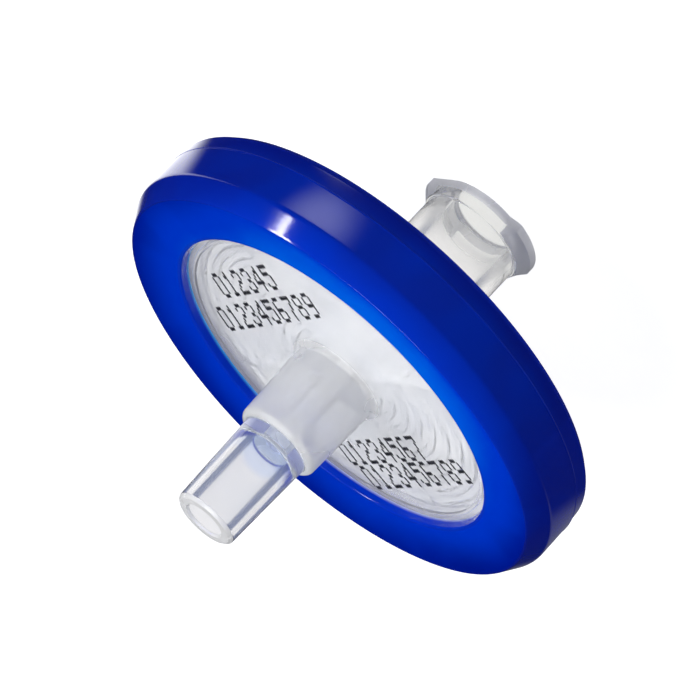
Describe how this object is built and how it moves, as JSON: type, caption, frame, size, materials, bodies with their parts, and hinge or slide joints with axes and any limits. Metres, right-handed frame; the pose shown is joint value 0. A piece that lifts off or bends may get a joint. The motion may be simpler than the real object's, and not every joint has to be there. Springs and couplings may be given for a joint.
{
  "type": "syringe filter",
  "caption": "Disc-shaped syringe filter: clear ribbed housing halves over a white membrane, joined by a blue overmoulded ring, with a lugged luer socket and a slip tip.",
  "frame": {"origin": "centre of the inlet hub's open end, on the plane that the filter stands on", "axes": "+Z along the flow axis from the inlet hub towards the outlet tip; +X and +Y lie across the disc, with the middle of one locking lug 122 degrees from +X towards +Y"},
  "size_m": [0.0308, 0.0308, 0.025],
  "materials": {
    "ring_blue": "glossy moulded",
    "clear_housing": "clear, slightly milky, glossy moulded",
    "membrane_white": "matte porous sheet"
  },
  "bodies": {
    "root": {"outlet_housing": "clear_housing", "inlet_housing": "clear_housing", "membrane": "membrane_white", "overmould_ring": "ring_blue"}
  },
  "joints": []
}
